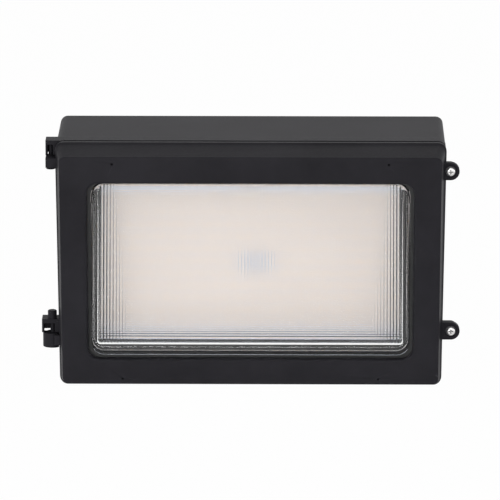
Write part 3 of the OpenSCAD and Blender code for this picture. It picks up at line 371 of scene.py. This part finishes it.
link(tree, between(tree, worn, (0.035, 0.17, 0.06), (0.10, 0.32, 0.15)), shader.inputs["Base Color"])
emboss(tree, shader, worn, 0.00001, 0.4, 0.0002)
dress(green_steel, "ground_screw")


def smooth_path(points, steps=6):
    """A curve through the points: between two of them, b + t/2 (c - a + t (2a -
    5b + 4c - d + t (3b - a - 3c + d))), where a and d are the neighbours of b
    and c."""
    p = np.asarray(points, float)
    around = np.vstack([p[:1], p, p[-1:]])
    a, b, c, d = (around[k:k + len(p) - 1, None] for k in range(4))
    t = np.linspace(0, 1, steps, endpoint=False)[None, :, None]
    curve = b + 0.5 * t * (c - a + t * (2 * a - 5 * b + 4 * c - d + t * (3 * b - a - 3 * c + d)))
    return np.vstack([curve.reshape(-1, 3), p[-1:]])


def tube(path, radius, sides=12):
    """Rings of the given radius round a path, each square to the path's
    direction, which is the difference of its two neighbours. Its first axis is
    the cross product of that direction and a fixed slanting line."""
    ahead = np.gradient(path, axis=0)
    ahead /= np.linalg.norm(ahead, axis=1, keepdims=True)
    first = np.cross(ahead, np.array([1.0, 0.35, 0.2]))
    first /= np.linalg.norm(first, axis=1, keepdims=True)
    second = np.cross(ahead, first)
    a = np.linspace(0, 2 * np.pi, sides, endpoint=False)
    return path[:, None] + radius * (np.cos(a)[None, :, None] * first[:, None]
                                     + np.sin(a)[None, :, None] * second[:, None])


def skin(rings, size):
    """Quads between rings that follow one another, size points each: point j of
    ring i, its neighbour j + 1, and the same two on ring i + 1."""
    i, j = np.meshgrid(np.arange(rings - 1), np.arange(size), indexing="ij")
    side = (j + 1) % size
    return np.stack([i * size + j, i * size + side, (i + 1) * size + side, (i + 1) * size + j],
                    axis=-1).reshape(-1, 4)


def mesh_piece(name, points, quads, others, finished, sharp):
    """A mesh object at the origin from arrays of points and quads, and a list of
    other faces. It is smooth, and split where two faces turn by more than sharp
    degrees."""
    mesh = bpy.data.meshes.new(name)
    mesh.from_pydata(np.asarray(points, float).reshape(-1, 3).tolist(), [],
                     np.asarray(quads, int).tolist() + [list(map(int, face)) for face in others])
    mesh.materials.append(finished)
    mesh.polygons.foreach_set("use_smooth", np.ones(len(mesh.polygons), bool))
    mesh.set_sharp_from_angle(angle=math.radians(sharp))
    made = bpy.data.objects.new(name, mesh)
    scene.collection.objects.link(made)
    return made


def insulation(name, colour, lighter):
    """A lead's glossy plastic skin, faintly mottled between two shades."""
    made, tree, shader = finish(name, colour, 0.36)
    link(tree, between(tree, grain(tree, 300.0), colour, lighter), shader.inputs["Base Color"])
    emboss(tree, shader, grain(tree, 1500.0), 0.00002, 0.4)
    return made


lead_radius = 0.00075
lead_apart = 0.0009
driver_low, driver_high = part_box("driver_case")
driver_left, driver_right = driver_low[0], driver_high[0]
lead_exit = (float(driver_low[1] + driver_high[1]) / 2, float(driver_high[2]) - 0.0105)
connector_low, connector_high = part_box("board_connector")
connector_top = float(connector_high[2])
connector_mid = float(connector_low[1] + connector_high[1]) / 2
tray_top = float(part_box("led_tray")[1][2])
block_low, block_high = (np.array(b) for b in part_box("terminal_block"))
terminals = ((block_low[0] + block_high[0]) / 2, float(block_high[1]) - 0.005,
             (block_low[2] + block_high[2]) / 2)
skins = {"red": insulation("red_insulation", (0.34, 0.012, 0.010), (0.44, 0.025, 0.02)),
         "black": insulation("black_insulation", (0.012, 0.012, 0.013), (0.022, 0.022, 0.024)),
         "white": insulation("white_insulation", (0.70, 0.70, 0.68), (0.80, 0.80, 0.79))}


def lead_piece(name, route, colour, node):
    """A round lead along a smooth path, closed at both ends by a flat face."""
    path = smooth_path(route)
    rings = tube(path, lead_radius)
    count, sides = rings.shape[:2]
    ends = [range(sides - 1, -1, -1), range((count - 1) * sides, count * sides)]
    made = mesh_piece(name, rings, skin(count, sides), ends, skins[colour], 40)
    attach(made, "housing")
    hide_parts(node)


for side, colour in ((-1, "red"), (1, "black")):
    off = side * lead_apart
    lead_piece("board_lead_" + colour, np.array(
        [(driver_left - x, lead_exit[0] + off, lead_exit[1]) for x in (0.0, 0.005, 0.012)]
        + [(x, y + off, z) for x, y, z in ((-0.102, -0.026, -0.028), (-0.112, -0.030, -0.004),
                                           (-0.092, -0.032, 0.040))]
        + [(x, y + off, tray_top + z) for x, y, z in ((-0.044, -0.034, 0.006), (-0.014, -0.038, 0.023))]
        + [(-0.005 + 0.8 * off, -0.045 + 0.8 * off, tray_top + 0.027)]
        + [(x + off, y, tray_top + z) for x, y, z in ((0.0, -0.058, 0.029), (0.0, -0.078, 0.026),
                                                      (0.0, -0.091, 0.018))]
        + [(off, connector_mid, connector_top + z) for z in (0.014, 0.008, 0.004, -0.0023)]),
        colour, "board_leads")
for side, place, colour in ((-1, -0.011, "black"), (1, 0.0, "white")):
    off = side * lead_apart
    lead_piece("supply_lead_" + colour, np.array(
        [(terminals[0] + place, terminals[1], terminals[2] - z) for z in (0.0, 0.006, 0.012, 0.018)]
        + [(x, y + off, z) for x, y, z in ((0.096, -0.012, 0.016), (0.110, -0.014, 0.004),
                                           (0.118, -0.018, -0.014), (0.114, -0.022, -0.030))]
        + [(driver_right + x, lead_exit[0] + off, lead_exit[1]) for x in (0.022, 0.012, 0.005, 0.0)]),
        colour, "supply_leads")

# The board: an aluminium-cored circuit board with a white solder mask, screwed
# flat on the tray. Over the LEDs the mask carries a painted warm glow of their
# phosphor, and it is greyer round the middle screw.
board_low, board_high = (np.array(b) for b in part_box("led_board"))
painted_glow_field = ((0, 0.141, 0.0), (2, 0.0675, -0.001))
painted_glow_edge = (-0.004, 0.002)
screw_ring = (0.006, 0.014)
bare_at = (0.0045, float(board_low[1]), float(board_low[2] + board_high[2]) / 2)
white_mask, tree, shader = finish("white_mask", (0.86, 0.86, 0.87), 0.32)
weave = grain(tree, 300.0, 4.0)
spread = part(tree, "ShaderNodeSeparateXYZ")
link(tree, part(tree, "ShaderNodeTexCoord").outputs["Object"], spread.inputs[0])
inside = part(tree, "ShaderNodeMath", operation="MULTIPLY")
for socket, (axis, half, mid) in zip(inside.inputs, painted_glow_field):
    off = part(tree, "ShaderNodeMath", operation="SUBTRACT")
    link(tree, spread.outputs[axis], off.inputs[0])
    off.inputs[1].default_value = mid
    far = part(tree, "ShaderNodeMath", operation="ABSOLUTE")
    link(tree, off.outputs[0], far.inputs[0])
    link(tree, span(tree, far.outputs[0], half + painted_glow_edge[0], half + painted_glow_edge[1], 1.0, 0.0), socket)
off = part(tree, "ShaderNodeVectorMath", operation="DISTANCE")
link(tree, part(tree, "ShaderNodeTexCoord").outputs["Object"], off.inputs[0])
off.inputs[1].default_value = bare_at
round_screw = span(tree, off.outputs["Value"], *screw_ring, 1.0, 0.0)
plain = between(tree, weave, (0.560, 0.570, 0.655), (0.600, 0.612, 0.700))
# Painted glow: the mask is tinted warm over the LED field, standing in for the phosphors' light spread
# by the ribbed glass.
painted_phosphor_glow = between(tree, weave, (0.548, 0.492, 0.490), (0.590, 0.530, 0.525))
mask = between(tree, inside.outputs[0], plain, painted_phosphor_glow)
link(tree, between(tree, round_screw, mask, (0.34, 0.37, 0.46)), shader.inputs["Base Color"])
emboss(tree, shader, weave, 0.00002, 0.4)
dress(white_mask, "led_board")

# The LEDs: 368 surface-mounted packages, each a white moulded frame round a
# square well of yellow phosphor, soldered to the board. The four round the
# middle screw are left out.
led_half = (0.00175, 0.0014)
led_high = 0.0008
well_half = (0.0015, 0.00122)
well_deep = 0.00018
columns, rows = 31, 12
leds_low, leds_high = (np.array(b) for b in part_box("leds"))
board_face = float(board_low[1])
led_x = np.linspace(leds_low[0] + led_half[0], leds_high[0] - led_half[0], columns)
led_z = np.linspace(leds_low[2] + led_half[1], leds_high[2] - led_half[1], rows)
row, column = np.divmod(np.arange(rows * columns), columns)
by_screw = np.isin(row, (rows // 2 - 1, rows // 2)) & np.isin(column, (columns // 2, columns // 2 + 1))
led_at = np.stack([led_x[column], led_z[row]], axis=-1)[~by_screw]


def copies(points, quads, places):
    """One set of points and quads for all places: every point is moved by each
    place in X and Z, and every face index by the points that come before."""
    shift = np.stack([places[:, 0], np.zeros(len(places)), places[:, 1]], axis=-1)
    many = (points[None] + shift[:, None]).reshape(-1, 3)
    faces = (quads[None] + (np.arange(len(places)) * len(points))[:, None, None]).reshape(-1, 4)
    return many, faces


def frame_rings(levels):
    """Square rings in X and Z, each given as its half width, half height and
    distance in front of the board."""
    corners = np.array([(-1, -1), (1, -1), (1, 1), (-1, 1)], float)
    return np.concatenate([np.stack([corners[:, 0] * a, np.full(4, board_face - out), corners[:, 1] * b],
                                    axis=-1) for a, b, out in levels])


package_plastic, tree, shader = finish("package_plastic", (0.84, 0.84, 0.82), 0.4)
link(tree, between(tree, grain(tree, 1400.0), (0.78, 0.78, 0.76), (0.88, 0.88, 0.86)),
     shader.inputs["Base Color"])
emboss(tree, shader, grain(tree, 5000.0), 0.00001, 0.3)
phosphor, tree, shader = finish("led_phosphor", (0.85, 0.62, 0.25), 0.3)
link(tree, between(tree, grain(tree, 900.0), (0.94, 0.46, 0.08), (0.98, 0.62, 0.20)),
     shader.inputs["Base Color"])
emboss(tree, shader, grain(tree, 2500.0), 0.00002, 0.4)
shell = frame_rings([(led_half[0], led_half[1], 0.0), (led_half[0], led_half[1], led_high),
                     (well_half[0], well_half[1], led_high),
                     (well_half[0] - 0.00008, well_half[1] - 0.00008, led_high - well_deep)])
shell_faces = np.vstack([skin(4, 4), [(3, 2, 1, 0)], [(12, 13, 14, 15)]])
packages = mesh_piece("led_packages", *copies(shell, shell_faces, led_at), [], package_plastic, 30)
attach(packages, "housing")
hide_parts("leds")
dome = frame_rings([(well_half[0] - 0.00006, well_half[1] - 0.00006, led_high - well_deep + 0.00002),
                    (0.8 * well_half[0], 0.8 * well_half[1], led_high - 0.3 * well_deep),
                    (0.4 * well_half[0], 0.4 * well_half[1], led_high - 0.1 * well_deep)])
dome_faces = np.vstack([skin(3, 4), [(3, 2, 1, 0)], [(8, 9, 10, 11)]])
domes = mesh_piece("led_phosphors", *copies(dome, dome_faces, led_at), [], phosphor, 60)
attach(domes, "housing")

# The glass: one pressed piece of borosilicate, 4.5 mm thick, a wedge whose flat
# flange is held behind the door's lip. Inside, its front has fine ribs both ways
# and its walls have teeth. Outside it is smooth, with fire-rounded edges.
face_tilt = math.radians(2.09818)
face_at = -0.13215
lens_seat = 0.0085
glass_thick = 0.0045
opening_half = (0.1507, 0.08485)
opening_mid = -0.00175
base_half = 0.1484
base_high, base_low, base_round = 0.0820, -0.0852, 0.0125
front_half = 0.1457
front_high, front_low = 0.0824, -0.0628
front_round, inner_round = 0.0110, 0.0030
flange_over, flange_round = 0.0051, 0.0151
front_out, top_sunk = 0.0478, 0.0003
front_slope = (front_out + top_sunk) / (front_high - front_low)
front_at = -front_out - front_slope * front_low
thin_top = 0.0012
edge_round, edge_margin = 0.0038, 0.0008
top_share = 0.35
ribs_across, ribs_down = 95, 63
rib_deep = (0.00092, 0.0006)
tooth_pitch, tooth_deep = 0.0034, 0.0004
tooth_start, tooth_ease, tooth_end = 0.97, 0.03, 0.93
fillet, fillet_sides, fillet_top = 0.0055, 0.0026, 0.0004
ribbed_half = front_half - glass_thick - fillet_sides
ribbed_low, ribbed_high = front_low + glass_thick + fillet, front_high - thin_top - fillet_top


def on_face(points):
    """Carries points from the door's leaning face frame to the model's: a turn
    by the face's tilt about X, then a move along Y."""
    x, y, z = np.moveaxis(np.asarray(points, float), -1, 0)
    c, s = math.cos(face_tilt), math.sin(face_tilt)
    return np.stack([x, face_at + c * y - s * z, s * y + c * z], axis=-1)


def rounded_grid(u, v, half, low, high, rounding):
    """Carries u and v, each from -1 to 1, onto an upright rectangle of X and Z.
    In each corner square, p and q being the shares of the way to its two outer
    sides, x goes by p sqrt(1 - q q / 2) and z by q sqrt(1 - p p / 2), which
    bends those sides onto a quarter circle."""
    tall = (high - low) / 2
    x, z = u * half, v * tall
    p = np.clip((np.abs(x) - half + rounding) / rounding, 0, 1)
    q = np.clip((np.abs(z) - tall + rounding) / rounding, 0, 1)
    corner = (p > 0) & (q > 0)
    x = np.where(corner, np.sign(x) * (half - rounding + rounding * p * np.sqrt(1 - q * q / 2)), x)
    z = np.where(corner, np.sign(z) * (tall - rounding + rounding * q * np.sqrt(1 - p * p / 2)), z)
    return x, z + (high + low) / 2


def ribs(x, z):
    """Height of the ribs on the front's inner face: a cosine wave across and a
    lower one down, each from 0 to its depth."""
    across = 0.5 - 0.5 * np.cos(np.pi * ribs_across * x / ribbed_half)
    down = 0.5 - 0.5 * np.cos(2 * np.pi * ribs_down * (z - ribbed_low) / (ribbed_high - ribbed_low))
    return rib_deep[0] * across + rib_deep[1] * down


u, v = np.meshgrid(np.linspace(-1, 1, 4 * ribs_across + 1), np.linspace(-1, 1, 3 * ribs_down + 1))
x, z = rounded_grid(u, v, ribbed_half, ribbed_low, ribbed_high, inner_round)
thick_out = glass_thick * math.hypot(1, front_slope)
inner = np.stack([x, front_at + front_slope * z + thick_out + ribs(x, z), z], axis=-1)
down_n, over_n = u.shape
index = np.arange(down_n * over_n).reshape(down_n, over_n)
edge = np.concatenate([index[0, :-1], index[:-1, -1], index[-1, :0:-1], index[:0:-1, 0]])
edge_u, edge_v = u.flat[edge], v.flat[edge]


def loop(half, low, high, rounding, back, lean=0.0):
    """A closed ring with the same number of points as the grid's border, on the
    plane y = back + lean z."""
    x, z = rounded_grid(edge_u, edge_v, half, low, high, rounding)
    return np.stack([x, back + lean * z, z], axis=-1)


def front_ring(inset, back):
    """The front's outline, drawn in by inset (less along the top) on the front's
    plane moved back."""
    return loop(front_half - inset, front_low + inset, front_high - top_share * inset,
                front_round - inset, front_at + back, front_slope)


inner_base = loop(base_half - glass_thick, base_low + glass_thick, base_high - thin_top,
                  base_round - glass_thick, lens_seat)
corner = loop(front_half - glass_thick, front_low + glass_thick, front_high - thin_top, inner_round,
              front_at + thick_out, front_slope)
rib_border = inner.reshape(-1, 3)[edge]
down_wall = inner_base - corner
reach = np.clip(fillet / np.linalg.norm(down_wall, axis=1, keepdims=True), 0, 0.5)
inner_edge = corner + down_wall * reach
rings = []
for angle in np.radians(np.linspace(0, 90, 6))[1:]:
    rings.append(corner + (rib_border - corner) * (1 - math.sin(angle))
                 + down_wall * reach * (1 - math.cos(angle)))
for share in np.linspace(0, 1, 7)[1:-1]:
    ring = inner_edge * (1 - share) + inner_base * share
    fade = math.sin(math.pi * share) ** 0.5
    side = np.clip((np.abs(edge_u) - tooth_start) / tooth_ease, 0, 1) * (np.abs(edge_v) < tooth_end)
    foot = np.clip((-edge_v - tooth_start) / tooth_ease, 0, 1) * (np.abs(edge_u) < tooth_start)
    lean = ring[:, 1] - lens_seat
    wave_z = 0.5 - 0.5 * np.cos(2 * np.pi * (ring[:, 2] + 0.5 * lean) / tooth_pitch)
    wave_x = 0.5 - 0.5 * np.cos(2 * np.pi * (ring[:, 0] + 0.5 * lean) / tooth_pitch)
    ring[:, 0] -= np.sign(ring[:, 0]) * side * wave_z * tooth_deep * fade
    ring[:, 2] += foot * wave_x * tooth_deep * fade
    rings.append(ring)
flange_back = lens_seat + glass_thick
rings += [inner_base,
          loop(base_half - glass_thick, base_low + glass_thick, base_high - thin_top,
               base_round - glass_thick, flange_back)]
for back in (flange_back, lens_seat):
    rings.append(loop(opening_half[0] + flange_over, opening_mid - opening_half[1] - flange_over,
                      opening_mid + opening_half[1] + flange_over, flange_round, back))
rings.append(loop(base_half, base_low, base_high, base_round, lens_seat))
for angle in np.radians(np.linspace(0, 90, 6)):
    rings.append(front_ring(edge_round * (1 - math.cos(angle)), edge_round * (1 - math.sin(angle))))
rings.append(front_ring(edge_round + edge_margin, 0.0))
size = len(edge)
points = np.concatenate([inner.reshape(-1, 3)] + rings)
grid_quads = np.stack([index[1:, :-1], index[1:, 1:], index[:-1, 1:], index[:-1, :-1]],
                      axis=-1).reshape(-1, 4)
start = down_n * over_n
place = np.arange(size)
first = np.stack([edge, np.roll(edge, -1), start + (place + 1) % size, start + place], axis=-1)
wall_quads = skin(len(rings), size) + start
last = start + (len(rings) - 1) * size + place
glass, tree, shader = finish("lens_glass", (0.97, 0.985, 0.98), 0.02)
shader.inputs["Transmission Weight"].default_value = 1.0
shader.inputs["IOR"].default_value = 1.47
link(tree, span(tree, grain(tree, 40.0, 2.0), 0.3, 0.7, 0.0, 0.03), shader.inputs["Roughness"])
emboss(tree, shader, grain(tree, 60.0, 2.0), 0.00005, 0.15)
clear = part(tree, "ShaderNodeBsdfTransparent")
clear.inputs["Color"].default_value = (0.92, 0.93, 0.925, 1.0)
path = part(tree, "ShaderNodeLightPath")
mixed = part(tree, "ShaderNodeMixShader")
surface = next(n for n in tree.nodes if n.type == "OUTPUT_MATERIAL").inputs["Surface"]
link(tree, path.outputs["Is Shadow Ray"], mixed.inputs[0])
link(tree, shader.outputs[0], mixed.inputs[1])
link(tree, clear.outputs[0], mixed.inputs[2])
link(tree, mixed.outputs[0], surface)
lens = mesh_piece("prismatic_glass", on_face(points), np.vstack([grid_quads, first, wall_quads]),
                  [last], glass, 75)
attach(lens, "door")
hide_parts("glass_lens")
